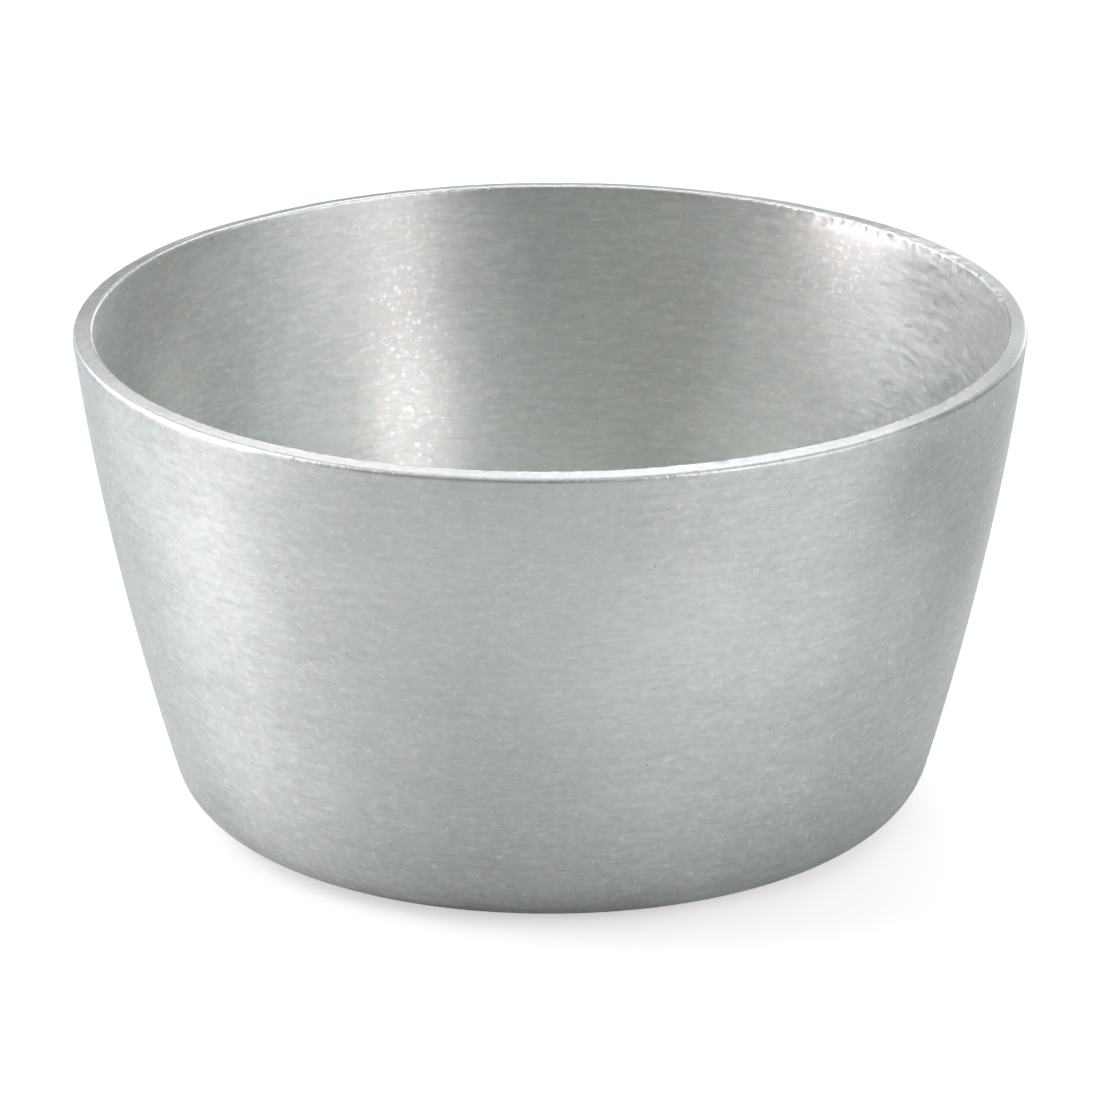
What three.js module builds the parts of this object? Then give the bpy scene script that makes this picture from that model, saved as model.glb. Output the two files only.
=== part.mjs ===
// Single-portion pudding mould: one cup drawn from a disc of aluminium sheet, with a flat base,
// a rounded foot, a bowed wall that leans outwards, and a rim cut square to the wall.
// Millimetres, +Z up, origin at the centre of the underside of the base.
import * as THREE from "three";

// Driving dimensions. A lean is the wall's angle from the upright. The rim's radius and height are
// those of its outer edge, before its two corners are broken.
const RIM_RADIUS = 42.5;
const RIM_HEIGHT = 44.8;
const SHEET = 1.8;
const RIM_LEAN = THREE.MathUtils.degToRad(7.3);
const FOOT_LEAN = THREE.MathUtils.degToRad(16.4);
const FOOT_BEND = 6.4;
const OUTER_CORNER = 0.45;
const INNER_CORNER = 0.3;

// Steps round the cup, and along each round stretch of its section
const SIDES = 96;
const FOOT_STEPS = 7;
const WALL_STEPS = 8;
const CORNER_STEPS = 3;

const QUARTER_TURN = Math.PI / 2;

// The wall bows along one circle, which meets the rim at RIM_LEAN and the bend of the foot at FOOT_LEAN.
const footTop = FOOT_BEND * (1 - Math.sin(FOOT_LEAN));
const wallBend = (RIM_HEIGHT - footTop) / (Math.sin(FOOT_LEAN) - Math.sin(RIM_LEAN));
const wallCentre = new THREE.Vector2(
  RIM_RADIUS - wallBend * Math.cos(RIM_LEAN),
  RIM_HEIGHT + wallBend * Math.sin(RIM_LEAN),
);
const footCentre = onArc(wallCentre, wallBend - FOOT_BEND, FOOT_LEAN);

// The point of an arc whose face has the given lean, as radius from the axis and height
function onArc(centre, radius, lean) {
  const r = centre.x + radius * Math.cos(lean);
  const z = centre.y - radius * Math.sin(lean);
  return new THREE.Vector2(r, z);
}

function arc(centre, radius, fromLean, toLean, steps) {
  return Array.from({ length: steps + 1 }, (_, i) =>
    onArc(centre, radius, THREE.MathUtils.lerp(fromLean, toLean, i / steps)),
  );
}

// The lean on a circle about the wall's centre where a corner's centre is its own radius below the cut face
function cornerLean(bend, corner) {
  return RIM_LEAN + Math.asin(corner / bend);
}

// The sheet's section: up the outside from the base's centre, over the rim, and down the inside
function section() {
  const outerBend = wallBend - OUTER_CORNER;
  const outerLean = cornerLean(outerBend, OUTER_CORNER);
  const outerCentre = onArc(wallCentre, outerBend, outerLean);
  const innerBend = wallBend - SHEET + INNER_CORNER;
  const innerLean = cornerLean(innerBend, INNER_CORNER);
  const innerCentre = onArc(wallCentre, innerBend, innerLean);
  return [
    new THREE.Vector2(0, 0),
    ...arc(footCentre, FOOT_BEND, QUARTER_TURN, FOOT_LEAN, FOOT_STEPS),
    ...arc(wallCentre, wallBend, FOOT_LEAN, outerLean, WALL_STEPS).slice(1),
    ...arc(outerCentre, OUTER_CORNER, outerLean, RIM_LEAN - QUARTER_TURN, CORNER_STEPS).slice(1),
    ...arc(innerCentre, -INNER_CORNER, RIM_LEAN + QUARTER_TURN, innerLean, CORNER_STEPS),
    ...arc(wallCentre, wallBend - SHEET, innerLean, FOOT_LEAN, WALL_STEPS).slice(1),
    ...arc(footCentre, FOOT_BEND - SHEET, FOOT_LEAN, QUARTER_TURN, FOOT_STEPS).slice(1),
    new THREE.Vector2(0, SHEET),
  ];
}

// Satin aluminium, brushed in rings
const brushedAluminium = new THREE.MeshStandardMaterial({
  color: 0xc4c7c5,
  metalness: 1,
  roughness: 0.36,
});

const cup = new THREE.Mesh(new THREE.LatheGeometry(section(), SIDES), brushedAluminium);
cup.name = "mould_cup";
cup.rotation.x = Math.PI / 2;

const puddingMould = new THREE.Group();
puddingMould.add(cup);

export default puddingMould;
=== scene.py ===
import math

import bmesh
import bpy
from mathutils import Matrix, Vector, noise


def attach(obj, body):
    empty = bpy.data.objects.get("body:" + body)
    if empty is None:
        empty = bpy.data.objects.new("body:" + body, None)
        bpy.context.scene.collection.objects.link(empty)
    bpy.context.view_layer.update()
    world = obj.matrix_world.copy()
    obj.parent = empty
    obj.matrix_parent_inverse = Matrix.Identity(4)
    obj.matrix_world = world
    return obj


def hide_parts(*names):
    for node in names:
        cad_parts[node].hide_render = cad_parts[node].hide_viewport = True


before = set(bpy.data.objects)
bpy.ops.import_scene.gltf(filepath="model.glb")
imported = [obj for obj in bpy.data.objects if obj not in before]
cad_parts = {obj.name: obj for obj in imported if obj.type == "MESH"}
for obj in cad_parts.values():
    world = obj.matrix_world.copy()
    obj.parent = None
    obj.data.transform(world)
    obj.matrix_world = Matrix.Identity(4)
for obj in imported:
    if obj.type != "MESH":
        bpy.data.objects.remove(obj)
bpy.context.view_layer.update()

# The cup: one disc of aluminium sheet, drawn in a press to a flat base, a rounded foot and a bowed
# wall, then trimmed square at the rim, with both corners of the cut broken by hand. It is brushed in
# rings on a lathe, inside and out, and nothing else is fixed to it.
RIM_RADIUS = 0.0425
RIM_HEIGHT = 0.0448
SHEET = 0.0018
RIM_LEAN = math.radians(7.3)
FOOT_LEAN = math.radians(16.4)
FOOT_BEND = 0.0064
OUTER_CORNER = 0.00045
INNER_CORNER = 0.0003
RIM_ZONE = 0.0015
SECTORS = 16
SECTOR_STEPS = 64
QUARTER = math.pi / 2

# The wall bows along one circle, which meets the rim at RIM_LEAN and the foot's bend at FOOT_LEAN.
foot_top = FOOT_BEND * (1 - math.sin(FOOT_LEAN))
wall_bend = (RIM_HEIGHT - foot_top) / (math.sin(FOOT_LEAN) - math.sin(RIM_LEAN))
wall_centre = Vector((RIM_RADIUS - wall_bend * math.cos(RIM_LEAN), 0,
                      RIM_HEIGHT + wall_bend * math.sin(RIM_LEAN)))


def on_wall(bend, lean):
    """The section's point at that distance from the wall's centre, where a face has that lean."""
    return wall_centre + bend * Vector((math.cos(lean), 0, -math.sin(lean)))


outer_bend = wall_bend - OUTER_CORNER
inner_bend = wall_bend - SHEET + INNER_CORNER
outer_lean = RIM_LEAN + math.asin(OUTER_CORNER / outer_bend)
inner_lean = RIM_LEAN + math.asin(INNER_CORNER / inner_bend)
outer_centre = on_wall(outer_bend, outer_lean)
inner_centre = on_wall(inner_bend, inner_lean)
foot_centre = on_wall(wall_bend - FOOT_BEND, FOOT_LEAN)
cut_face = Vector((math.sin(RIM_LEAN), 0, math.cos(RIM_LEAN)))
rim_zone = RIM_ZONE / wall_bend

cup_mesh = bmesh.new()


def run_to(tip, place, steps):
    """Draws the section straight on to a place."""
    start = tip.co.copy()
    for step in range(1, steps + 1):
        tip = bmesh.ops.extrude_vert_indiv(cup_mesh, verts=[tip])["verts"][0]
        tip.co = start.lerp(place, step / steps)
    return tip


def swing(tip, centre, turn, steps):
    """Draws the section on along an arc, by swinging its end about the arc's centre."""
    swung = bmesh.ops.spin(cup_mesh, geom=[tip], cent=centre, axis=(0, -1, 0), angle=turn, steps=steps)
    return next(part for part in swung["geom_last"] if isinstance(part, bmesh.types.BMVert))


tip = cup_mesh.verts.new((0, 0, 0))
tip = run_to(tip, Vector((foot_centre.x, 0, 0)), steps=6)
tip = swing(tip, foot_centre, QUARTER - FOOT_LEAN, steps=12)
tip = swing(tip, wall_centre, FOOT_LEAN - outer_lean - rim_zone, steps=14)
tip = swing(tip, wall_centre, rim_zone, steps=5)
tip = swing(tip, outer_centre, outer_lean - RIM_LEAN + QUARTER, steps=8)
tip = run_to(tip, inner_centre + INNER_CORNER * cut_face, steps=6)
tip = swing(tip, inner_centre, RIM_LEAN + QUARTER - inner_lean, steps=6)
tip = swing(tip, wall_centre, -rim_zone, steps=5)
tip = swing(tip, wall_centre, inner_lean + rim_zone - FOOT_LEAN, steps=14)
tip = swing(tip, foot_centre, FOOT_LEAN - QUARTER, steps=10)
tip = run_to(tip, Vector((0, 0, SHEET)), steps=6)

sector = 2 * math.pi / SECTORS
section = cup_mesh.verts[:] + cup_mesh.edges[:]
bmesh.ops.spin(cup_mesh, geom=section, cent=(0, 0, 0), axis=(0, 0, 1), angle=sector, steps=SECTOR_STEPS)
turned = cup_mesh.verts[:] + cup_mesh.edges[:] + cup_mesh.faces[:]
bmesh.ops.spin(cup_mesh, geom=turned, cent=(0, 0, 0), axis=(0, 0, 1), angle=2 * math.pi - sector,
               steps=SECTORS - 1, use_duplicate=True)
bmesh.ops.remove_doubles(cup_mesh, verts=cup_mesh.verts, dist=1e-6)
bmesh.ops.recalc_face_normals(cup_mesh, faces=cup_mesh.faces)

# Each face gets the finish of its side of the sheet, by where it lies and the way it looks.
OUTSIDE, INSIDE, RIM, UNDERSIDE = range(4)
WALL_LOOKS_OUT = 0.97
BOWL_LOOKS_UP = 0.5
BASE_LOOKS_DOWN = 0.999
for face in cup_mesh.faces:
    face.smooth = True
    middle = face.calc_center_median()
    radius = math.hypot(middle.x, middle.y)
    outwards = (face.normal.x * middle.x + face.normal.y * middle.y) / max(radius, 1e-9)
    if middle.z > RIM_HEIGHT - OUTER_CORNER and abs(outwards) < WALL_LOOKS_OUT:
        face.material_index = RIM
    elif outwards < 0 or face.normal.z > BOWL_LOOKS_UP:
        face.material_index = INSIDE
    elif -face.normal.z > BASE_LOOKS_DOWN:
        face.material_index = UNDERSIDE
    else:
        face.material_index = OUTSIDE

# Trimming and use leave the rim slightly wavy and nicked, its outer edge worn round along one stretch and
# its inner lip along another, and the wall not quite true. The foot and the base stay true.
TRUE_TOP = 0.004
SWELL_RISE = 0.012
WALL_SWELL = 0.00003
SWELLS_PER_METRE = 75
RIM_WAVE = 0.00006
RIM_WAVE_REACH = 0.003
WAVES_PER_RADIUS = 4
NICK_DEPTH = 0.0001
NICK_REACH = 0.0008
NICK_RARITY = 0.3
NICKS_PER_RADIUS = 38
BEAD_DEPTH = 0.00006
BEADS_PER_RADIUS = 70
GRIT_SHARE = 0.55
GRIT_PER_METRE = 1300

# The worn stretch of the outer edge, then of the inner: its depth, its reach from the edge and how steeply
# it falls away, the way round of its middle, and its spread to either side
WORN_STRETCHES = (
    (0.00014, 0.0008, 2, math.radians(-54), math.radians(30)),
    (0.00026, 0.0016, 1, math.radians(120), math.radians(33)),
)
rim_edges = (on_wall(wall_bend, RIM_LEAN), on_wall(wall_bend - SHEET, RIM_LEAN))
rim_heart = on_wall(wall_bend - SHEET / 2, RIM_LEAN + SHEET / 2 / wall_bend)
for vert in cup_mesh.verts:
    radius = math.hypot(vert.co.x, vert.co.y)
    if vert.co.z < TRUE_TOP or radius < 1e-6:
        continue
    outwards = Vector((vert.co.x, vert.co.y, 0)) / radius
    place = Vector((radius, 0, vert.co.z))
    way_round = math.atan2(vert.co.x, -vert.co.y)
    shift = Vector((0, 0, 0))
    swelling = min(1, (vert.co.z - TRUE_TOP) / SWELL_RISE)
    shift.x += WALL_SWELL * swelling * noise.noise(vert.co * SWELLS_PER_METRE)
    waving = max(0, 1 - (RIM_HEIGHT - vert.co.z) / RIM_WAVE_REACH)
    shift.z += RIM_WAVE * waving * noise.noise(outwards * WAVES_PER_RADIUS)
    for seed, edge in enumerate(rim_edges):
        depth, reach, fall, middle, spread = WORN_STRETCHES[seed]
        gap = (place - edge).length
        if gap < reach:
            nick = noise.noise(outwards * NICKS_PER_RADIUS + Vector((0, 0, 7 * seed)))
            bead = noise.noise(outwards * BEADS_PER_RADIUS + Vector((0, 0, 5 + 7 * seed)))
            bite = NICK_DEPTH * max(0, nick - NICK_RARITY) + BEAD_DEPTH * bead
            nicked = bite * max(0, 1 - gap / NICK_REACH) ** fall
            wearing = depth * max(0, 1 - ((way_round - middle) / spread) ** 2)
            worn = wearing * (1 - gap / reach) ** fall
            grit = noise.noise(vert.co * GRIT_PER_METRE)
            shift += (rim_heart - place).normalized() * (nicked + worn * (1 + GRIT_SHARE * grit))
    vert.co += outwards * shift.x
    vert.co.z += shift.z

cup_data = bpy.data.meshes.new("drawn_cup")
cup_mesh.to_mesh(cup_data)
cup_mesh.free()
drawn_cup = bpy.data.objects.new("drawn_cup", cup_data)
bpy.context.scene.collection.objects.link(drawn_cup)


def new_group(name, outputs, kind="NodeSocketFloat"):
    """A node group fed by a place on the sheet, which gives a value or a colour for each of its outputs."""
    group = bpy.data.node_groups.new(name, "ShaderNodeTree")
    group.interface.new_socket("Place", in_out="INPUT", socket_type="NodeSocketVector")
    for output in outputs:
        group.interface.new_socket(output, in_out="OUTPUT", socket_type=kind)
    start = group.nodes.new("NodeGroupInput")
    end = group.nodes.new("NodeGroupOutput")
    return group, start.outputs["Place"], end.inputs


def feed(tree, socket, value):
    """Sets a socket to a value, or links it to the socket that the value comes from."""
    if isinstance(value, bpy.types.NodeSocket):
        tree.links.new(value, socket)
    else:
        socket.default_value = value


def maths(tree, operation, *values):
    step = tree.nodes.new("ShaderNodeMath")
    step.operation = operation
    for socket, value in zip(step.inputs, values):
        feed(tree, socket, value)
    return step.outputs[0]


def vectors(tree, operation, *values):
    step = tree.nodes.new("ShaderNodeVectorMath")
    step.operation = operation
    for socket, value in zip(step.inputs, values):
        feed(tree, socket, value)
    return step


def cloud_noise(tree, place, scale, detail, output="Fac"):
    cloud = tree.nodes.new("ShaderNodeTexNoise")
    feed(tree, cloud.inputs["Vector"], place)
    cloud.inputs["Scale"].default_value = scale
    cloud.inputs["Detail"].default_value = detail
    return cloud.outputs[output]


def ramp(tree, value, low, high, at_low, at_high):
    spread = tree.nodes.new("ShaderNodeMapRange")
    spread.interpolation_type = "SMOOTHSTEP"
    for name, setting in (("From Min", low), ("From Max", high), ("To Min", at_low), ("To Max", at_high)):
        spread.inputs[name].default_value = setting
    tree.links.new(value, spread.inputs["Value"])
    return spread.outputs["Result"]


def ring_place(tree, place):
    """The way round the cup as a unit vector, the distance from its axis, and the height."""
    parts = tree.nodes.new("ShaderNodeSeparateXYZ")
    tree.links.new(place, parts.inputs[0])
    flat = tree.nodes.new("ShaderNodeCombineXYZ")
    tree.links.new(parts.outputs["X"], flat.inputs["X"])
    tree.links.new(parts.outputs["Y"], flat.inputs["Y"])
    round_cup = vectors(tree, "NORMALIZE", flat.outputs[0]).outputs["Vector"]
    radius = vectors(tree, "LENGTH", flat.outputs[0]).outputs["Value"]
    return round_cup, radius, parts.outputs["Z"]


def ring_noise(tree, ring, per_radius, per_metre, detail):
    """Noise drawn out along the rings, with so many grains to a radius round the cup and a metre up it."""
    round_cup, radius, height = ring
    climb = tree.nodes.new("ShaderNodeCombineXYZ")
    up_section = maths(tree, "ADD", radius, height)
    feed(tree, climb.inputs["Z"], maths(tree, "MULTIPLY", up_section, per_metre))
    wrapped = vectors(tree, "MULTIPLY_ADD", round_cup, (per_radius,) * 3, climb.outputs[0])
    return cloud_noise(tree, wrapped.outputs["Vector"], 1, detail)


# Brush marks: soft streaks, fine lines, short bright dashes and a few long scratches
rings, place, out = new_group("brushed_rings", ("Streaks", "Lines", "Dashes", "Scratches"))
ring = ring_place(rings, place)
dashes = ring_noise(rings, ring, per_radius=36, per_metre=2600, detail=0)
scratches = ring_noise(rings, ring, per_radius=3, per_metre=2600, detail=0)
feed(rings, out["Streaks"], ring_noise(rings, ring, per_radius=7, per_metre=1400, detail=1))
feed(rings, out["Lines"], ring_noise(rings, ring, per_radius=24, per_metre=2300, detail=0))
feed(rings, out["Dashes"], ramp(rings, dashes, low=0.62, high=0.76, at_low=0, at_high=1))
feed(rings, out["Scratches"], ramp(rings, scratches, low=0.74, high=0.82, at_low=0, at_high=1))

# Grain of the sheet: a fine unevenness, bright specks, small burnished glints that are smoother than the
# rest and on the inside also carry painted glints, and a few dark pits
FLECKS_PER_METRE = 1600
PITTED_SHARE = 0.007
grain, place, out = new_group("sheet_grain", ("Grain", "Specks", "Glints", "Pits"))
specks = cloud_noise(grain, place, scale=1900, detail=2)
feed(grain, out["Grain"], cloud_noise(grain, place, scale=1500, detail=2))
feed(grain, out["Specks"], ramp(grain, specks, low=0.62, high=0.74, at_low=0, at_high=1))
flecks = grain.nodes.new("ShaderNodeTexVoronoi")
grain.links.new(place, flecks.inputs["Vector"])
flecks.inputs["Scale"].default_value = FLECKS_PER_METRE
flecks.distance = "MANHATTAN"
chance = grain.nodes.new("ShaderNodeSeparateColor")
grain.links.new(flecks.outputs["Color"], chance.inputs[0])
glint = ramp(grain, flecks.outputs["Distance"], low=0.15, high=0.7, at_low=1, at_high=0)
feed(grain, out["Glints"], maths(grain, "MULTIPLY", glint, chance.outputs["Green"]))
pit = ramp(grain, flecks.outputs["Distance"], low=0.12, high=0.42, at_low=1, at_high=0)
pitted = maths(grain, "LESS_THAN", chance.outputs["Red"], PITTED_SHARE)
feed(grain, out["Pits"], maths(grain, "MULTIPLY", pit, pitted))

# Film: the thin oxide on the sheet, very faintly pink in places and green in others
film, place, out = new_group("oxide_film", ("Tint",), "NodeSocketColor")
feed(film, out["Tint"], cloud_noise(film, place, scale=800, detail=1, output="Color"))

# Clouds and painted light: soft clouds of tone, painted shade that darkens the cup towards its foot where it
# mirrors the floor's shadow, patches of either side painted lighter or darker as painted highlights and
# painted shade, and spots on the inside where glints are painted into the colour along its highlight band.
# Each is a way round from the front in degrees, a height, a reach, and what it adds at its middle.
FOOT_SHADE_TOP = 0.014
# Patches on the outside: painted highlights and painted shade.
OUTSIDE_PAINTED_LIGHT = (
    (12, 0.0265, 0.014, 0.13),
    (30, 0.031, 0.012, 0.05),
    (-50, 0.027, 0.013, 0.11),
    (-57, 0.038, 0.012, 0.13),
    (64, 0.0375, 0.018, -0.28),
    (66, 0.026, 0.012, -0.08),
    (55, 0.019, 0.021, -0.09),
    (49, 0.041, 0.0105, -0.13),
    (-8, 0.0435, 0.009, -0.06),
    (-45, 0.006, 0.018, 0.07),
    (-70, 0.003, 0.012, 0.16),
    (-2, 0.004, 0.02, -0.09),
    (-8, 0.0165, 0.015, -0.09),
    (42, 0.005, 0.016, -0.07),
    (-140, 0.031, 0.016, 0.1),
    (170, 0.022, 0.014, -0.08),
    (118, 0.036, 0.012, 0.08),
)
# Patches on the inside: painted highlights and painted shade.
INSIDE_PAINTED_LIGHT = (
    (-147, 0.022, 0.013, 0.12),
    (-133, 0.042, 0.009, 0.12),
    (-161, 0.034, 0.011, -0.08),
    (164, 0.027, 0.017, -0.075),
    (138, 0.0375, 0.012, -0.21),
    (119, 0.037, 0.012, 0.11),
    (-108, 0.04, 0.014, -0.19),
    (20, 0.03, 0.016, 0.1),
    (-35, 0.022, 0.016, -0.08),
)
# Spots of painted glints: bright dots painted into the inside's colour where its highlight band falls.
PAINTED_GLINT_SPOTS = (
    (-160, 0.04, 0.008, 0.6),
    (-159, 0.031, 0.008, 0.8),
    (-158, 0.022, 0.008, 0.8),
    (137, 0.04, 0.009, 0.65),
)
cloud_and_light_marks = ("Clouds", "Painted Foot Shade", "Outside Patches", "Inside Patches", "Painted Glints")
clouds_and_painted_light, place, out = new_group("clouds_and_painted_light", cloud_and_light_marks)
up_cup = ring_place(clouds_and_painted_light, place)[2]
feed(clouds_and_painted_light, out["Clouds"], cloud_noise(clouds_and_painted_light, place, scale=95, detail=3))
# Painted shade: the colour darkens towards the foot, standing in for the floor's shadow mirrored in it.
feed(clouds_and_painted_light, out["Painted Foot Shade"], ramp(clouds_and_painted_light, up_cup, low=0, high=FOOT_SHADE_TOP, at_low=1, at_high=0))
for mark, bend, spots in (("Outside Patches", wall_bend, OUTSIDE_PAINTED_LIGHT),
                          ("Inside Patches", wall_bend - SHEET, INSIDE_PAINTED_LIGHT),
                          ("Painted Glints", wall_bend - SHEET, PAINTED_GLINT_SPOTS)):
    total = 0
    for way_round, height, reach, share in spots:
        lean = math.asin((wall_centre.z - height) / bend)
        middle = Matrix.Rotation(math.radians(way_round - 90), 3, "Z") @ on_wall(bend, lean)
        gap = vectors(clouds_and_painted_light, "DISTANCE", place, middle).outputs["Value"]
        adds = ramp(clouds_and_painted_light, gap, low=0, high=reach, at_low=share, at_high=0)
        total = maths(clouds_and_painted_light, "ADD", total, adds)
    feed(clouds_and_painted_light, out[mark], total)

# Rim wear: nicks along the cut's outer corner, and burrs on and just below its inner corner, which are also
# painted brighter as a painted highlight along that edge
WEAR_BAND = 0.0005
wear, place, out = new_group("rim_wear", ("Nicks", "Burrs And Highlight"))
ring = ring_place(wear, place)
across = wear.nodes.new("ShaderNodeCombineXYZ")
wear.links.new(ring[1], across.inputs["X"])
wear.links.new(ring[2], across.inputs["Z"])
for mark, edge, grains, low, high in (("Nicks", rim_edges[0], 130, 0.56, 0.72),
                                      ("Burrs And Highlight", rim_edges[1], 90, 0.32, 0.6)):
    gap = vectors(wear, "DISTANCE", across.outputs[0], edge).outputs["Value"]
    near = ramp(wear, gap, low=WEAR_BAND * 0.3, high=WEAR_BAND, at_low=1, at_high=0)
    rough_edge = ring_noise(wear, ring, per_radius=grains, per_metre=2600, detail=1)
    worn_edge = ramp(wear, rough_edge, low=low, high=high, at_low=0, at_high=1)
    feed(wear, out[mark], maths(wear, "MULTIPLY", near, worn_edge))


def blend(tree, start, *shares):
    """Adds a share of each of several marks to a starting value."""
    total = start
    for mark, share in shares:
        total = maths(tree, "MULTIPLY_ADD", mark, share, total)
    return total


COOL_GREY = (0.812, 0.866, 0.852)
WARM_GREY = (0.835, 0.866, 0.840)
FILM_TINT = (0.08, 0, 0.06)
PLAIN_TONE = 0.866
DIMPLE_DEPTH = 0.00001


def aluminium(name, colour, roughness, anisotropy, brushed, grained, dimpled, sides=("Outside",), painted_glints=0):
    """A finish of the sheet, given how strongly its brush marks, grain and dimples show, and how strongly
    glints are painted into its colour in the spots.
    """
    metal = bpy.data.materials.new(name)
    metal.use_nodes = True
    tree = metal.node_tree
    shader = tree.nodes["Principled BSDF"]
    where = tree.nodes.new("ShaderNodeTexCoord").outputs["Object"]
    marks = {}
    for group in (rings, grain, film, clouds_and_painted_light, wear):
        holder = tree.nodes.new("ShaderNodeGroup")
        holder.node_tree = group
        tree.links.new(where, holder.inputs["Place"])
        for output in holder.outputs:
            marks[output.name] = output
    # Painted light: the patches bring painted highlights and painted shade, and on the inside the spots
    # bring painted glints.
    painted_light_marks = [(marks[side + " Patches"], 0.9) for side in sides]
    if painted_glints:
        painted_light_marks.append((maths(tree, "MULTIPLY", marks["Glints"], marks["Painted Glints"]), painted_glints))
    # The tone also carries painted shade towards the foot and a painted highlight on the burrs.
    tone = blend(tree, PLAIN_TONE - 0.12 * brushed - 0.1 * grained, *painted_light_marks,
                 (marks["Streaks"], 0.12 * brushed), (marks["Lines"], 0.12 * brushed),
                 (marks["Dashes"], 0.06 * brushed), (marks["Scratches"], -0.03 * brushed),
                 (marks["Grain"], 0.2 * grained), (marks["Specks"], 0.16 * grained), (marks["Pits"], -0.3),
                 (marks["Clouds"], 0.25), (marks["Painted Foot Shade"], -0.21),
                 (marks["Nicks"], -0.08), (marks["Burrs And Highlight"], 0.2))
    filmed = vectors(tree, "MULTIPLY_ADD", marks["Tint"], FILM_TINT, Vector(colour) - Vector(FILM_TINT) / 2)
    toned = vectors(tree, "SCALE", filmed.outputs["Vector"])
    feed(tree, toned.inputs["Scale"], tone)
    tree.links.new(toned.outputs["Vector"], shader.inputs["Base Color"])
    rough = blend(tree, roughness - 0.06 - 0.11 * brushed, (marks["Clouds"], 0.12),
                  (marks["Streaks"], 0.1 * brushed), (marks["Lines"], 0.14 * brushed),
                  (marks["Glints"], -0.08 * brushed), (marks["Burrs And Highlight"], -0.1))
    tree.links.new(rough, shader.inputs["Roughness"])
    height = blend(tree, 0, (marks["Grain"], 0.5 * dimpled), (marks["Streaks"], 0.3 * dimpled),
                   (marks["Lines"], 0.4 * dimpled), (marks["Pits"], -1),
                   (marks["Nicks"], -2), (marks["Burrs And Highlight"], 1.5))
    bump = tree.nodes.new("ShaderNodeBump")
    bump.inputs["Strength"].default_value = 1
    bump.inputs["Distance"].default_value = DIMPLE_DEPTH
    tree.links.new(height, bump.inputs["Height"])
    tree.links.new(bump.outputs["Normal"], shader.inputs["Normal"])
    shader.inputs["Metallic"].default_value = 1
    shader.inputs["Anisotropic"].default_value = anisotropy
    shader.inputs["Anisotropic Rotation"].default_value = 0.25
    tangent = tree.nodes.new("ShaderNodeTangent")
    tangent.direction_type = "RADIAL"
    tangent.axis = "Z"
    tree.links.new(tangent.outputs["Tangent"], shader.inputs["Tangent"])
    cup_data.materials.append(metal)


aluminium("brushed_outside", COOL_GREY, roughness=0.46, anisotropy=0.65, brushed=1.15, grained=1.1,
          dimpled=0.8)
aluminium("brushed_inside", WARM_GREY, roughness=0.42, anisotropy=0.7, brushed=1.3, grained=0.8, dimpled=1.6,
          sides=("Inside",), painted_glints=0.58)
aluminium("smoothed_rim", COOL_GREY, roughness=0.42, anisotropy=0.1, brushed=0.4, grained=1.1, dimpled=2.5,
          sides=("Outside", "Inside"))
aluminium("turned_base", COOL_GREY, roughness=0.45, anisotropy=0.7, brushed=1.5, grained=1, dimpled=1)

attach(drawn_cup, "root")
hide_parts("mould_cup")

# The floor: a plain white sheet of matt board, which lies a hair below the cup's base. It glows a little
# to the camera alone, as an overexposed backdrop does, and nothing is fixed to it.
FLOOR_REACH = 4.0
FLOOR_GAP = 0.00002
FLOOR_GLOW = 0.55
floor_mesh = bmesh.new()
bmesh.ops.create_grid(floor_mesh, x_segments=1, y_segments=1, size=FLOOR_REACH,
                      matrix=Matrix.Translation((0, 0, -FLOOR_GAP)))
floor_data = bpy.data.meshes.new("floor")
floor_mesh.to_mesh(floor_data)
floor_mesh.free()
floor = bpy.data.objects.new("floor", floor_data)
bpy.context.scene.collection.objects.link(floor)
white_sheet = bpy.data.materials.new("white_sheet")
white_sheet.use_nodes = True
sheet_shader = white_sheet.node_tree.nodes["Principled BSDF"]
sheet_shader.inputs["Base Color"].default_value = (0.85, 0.85, 0.85, 1)
sheet_shader.inputs["Roughness"].default_value = 0.9
sheet_shader.inputs["Specular IOR Level"].default_value = 0
sheet_shader.inputs["Emission Strength"].default_value = FLOOR_GLOW
seen = white_sheet.node_tree.nodes.new("ShaderNodeLightPath")
white_sheet.node_tree.links.new(seen.outputs["Is Camera Ray"], sheet_shader.inputs["Emission Color"])
floor_data.materials.append(white_sheet)

# The studio: soft boxes round the cup at arm's length, all aimed at it, in a dim room. They are panels of
# cloth over lamps, each with its own faint cast.
ROOM_LIGHT = 0.02
BOX_REACH = 1.0
studio = bpy.data.worlds.new("studio")
bpy.context.scene.world = studio
studio.use_nodes = True
room = studio.node_tree.nodes["Background"]
room.inputs["Color"].default_value = (1, 1, 1, 1)
room.inputs["Strength"].default_value = ROOM_LIGHT


def soft_box(name, azimuth, elevation, width, height, power, colour):
    """A soft box that far round from the front and that far up, in degrees."""
    lamp = bpy.data.lights.new(name, "AREA")
    lamp.shape = "RECTANGLE"
    lamp.size = width
    lamp.size_y = height
    lamp.energy = power
    lamp.color = colour
    lamp_object = bpy.data.objects.new(name, lamp)
    bpy.context.scene.collection.objects.link(lamp_object)
    a = math.radians(azimuth)
    e = math.radians(elevation)
    outwards = Vector((math.sin(a) * math.cos(e), -math.cos(a) * math.cos(e), math.sin(e)))
    lamp_object.location = outwards * BOX_REACH
    lamp_object.rotation_euler = outwards.to_track_quat("Z", "Y").to_euler()


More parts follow.
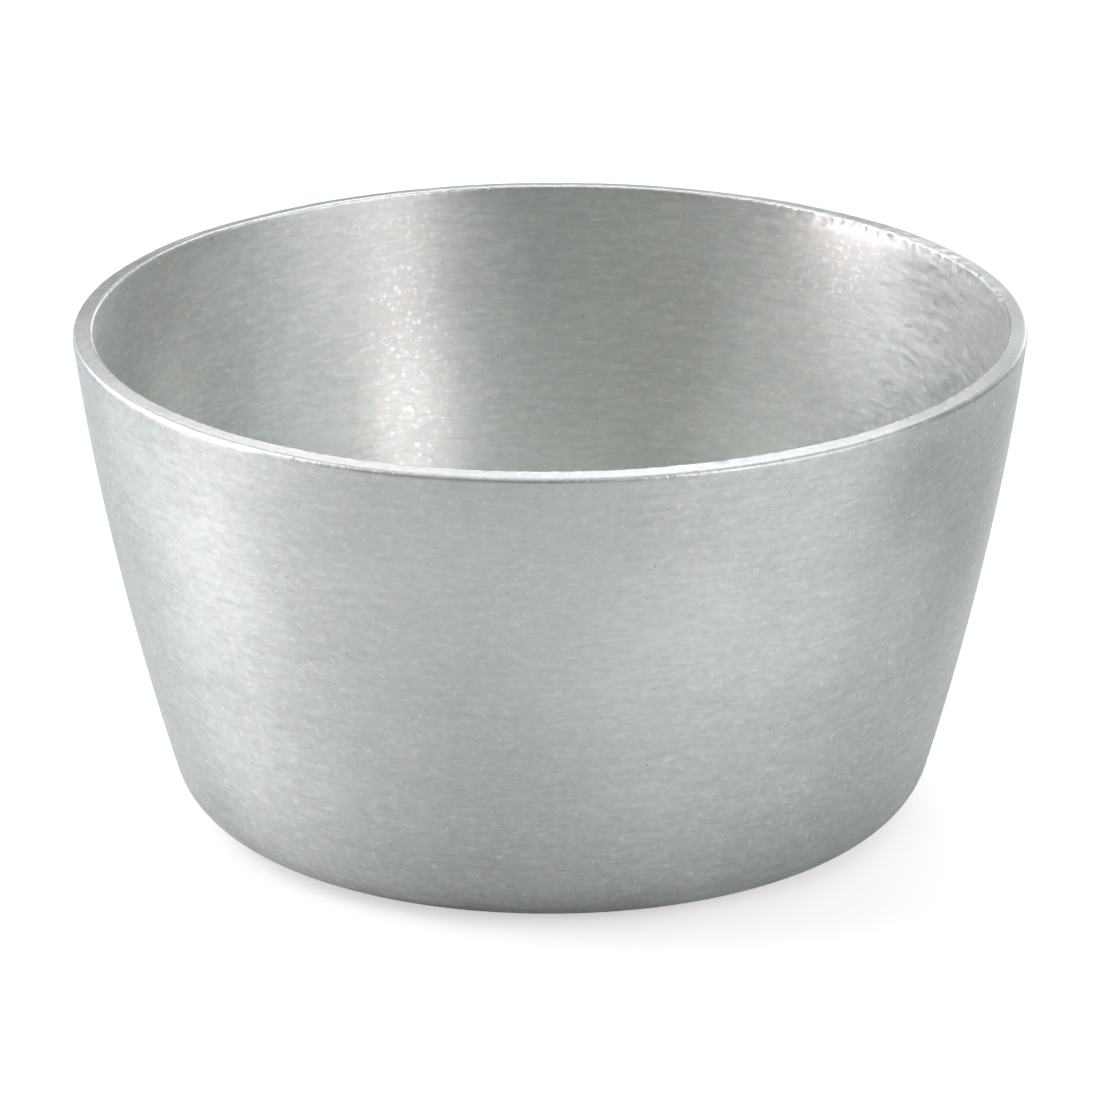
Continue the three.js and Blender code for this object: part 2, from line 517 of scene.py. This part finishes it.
soft_box("top_box", -120, 84, 0.5, 0.5, 1.08, (1.01, 0.99, 1.03))
soft_box("front_top_box", 0, 56, 0.8, 0.7, 0.83, (0.93, 1.03, 0.95))
soft_box("back_box", -178, 43, 0.7, 0.34, 1.60, (1.05, 0.98, 1.00))
soft_box("back_low_box", 180, 6, 1.6, 0.2, 0.40, (0.95, 1.02, 0.96))
soft_box("back_right_low_box", 163, 7, 0.3, 0.2, 0.40, (1.02, 0.99, 1.06))
soft_box("left_back_box", -130, 26, 0.6, 0.36, 1.44, (1.00, 0.99, 1.08))
soft_box("left_high_box", -88, 48, 0.5, 0.4, 1.66, (1.02, 1.00, 0.99))
soft_box("left_box", -98, 24, 0.36, 0.36, 1.25, (1.02, 0.99, 1.09))
soft_box("left_low_box", -84, 8, 0.36, 0.3, 1.63, (1.11, 0.97, 0.98))
soft_box("left_front_box", -38, 26, 0.7, 0.32, 0.28, (1.14, 0.97, 0.90))
soft_box("right_front_box", 42, 26, 0.24, 0.32, 1.22, (1.12, 0.97, 1.00))
soft_box("right_front_high_box", 50, 50, 0.36, 0.36, 0.38, (0.88, 1.04, 0.90))
soft_box("right_low_box", 60, 10, 0.4, 0.3, 0.56, (1.05, 0.98, 1.09))
soft_box("right_box", 80, 26, 0.6, 0.32, 0.96, (0.98, 1.00, 1.06))
soft_box("right_high_box", 98, 57, 0.32, 0.3, 0.42, (0.92, 1.03, 0.94))
soft_box("right_back_box", 138, 26, 0.7, 0.32, 0.48, (0.96, 1.02, 0.93))
soft_box("right_back_low_box", 147, 8, 0.3, 0.25, 0.50, (1.00, 1.00, 1.00))
soft_box("right_back_high_box", 145, 62, 0.5, 0.4, 0.85, (0.96, 1.01, 1.00))
bpy.context.scene.view_settings.view_transform = "Standard"

# The camera: a long lens on a stand in front of the cup, looking a little down on it. It is aimed just
# above the middle of the cup, and rolled by a quarter of a degree.
CAMERA_LIFT = math.radians(19.77)
CAMERA_REACH = 0.7
CAMERA_LENS = 254.86
CAMERA_ROLL = math.radians(-0.25)
CAMERA_AIM = Vector((-0.00011, 0, 0.02328))
camera_back = Vector((0, -math.cos(CAMERA_LIFT), math.sin(CAMERA_LIFT)))
lens = bpy.data.cameras.new("camera")
lens.lens = CAMERA_LENS
lens.sensor_width = 36
lens.clip_start = 0.01
lens.clip_end = 20
camera = bpy.data.objects.new("camera", lens)
bpy.context.scene.collection.objects.link(camera)
facing = (-camera_back).to_track_quat("-Z", "Y").to_matrix().to_4x4()
camera.matrix_world = (Matrix.Translation(CAMERA_AIM + camera_back * CAMERA_REACH) @ facing
                       @ Matrix.Rotation(CAMERA_ROLL, 4, "Z"))
bpy.context.scene.camera = camera
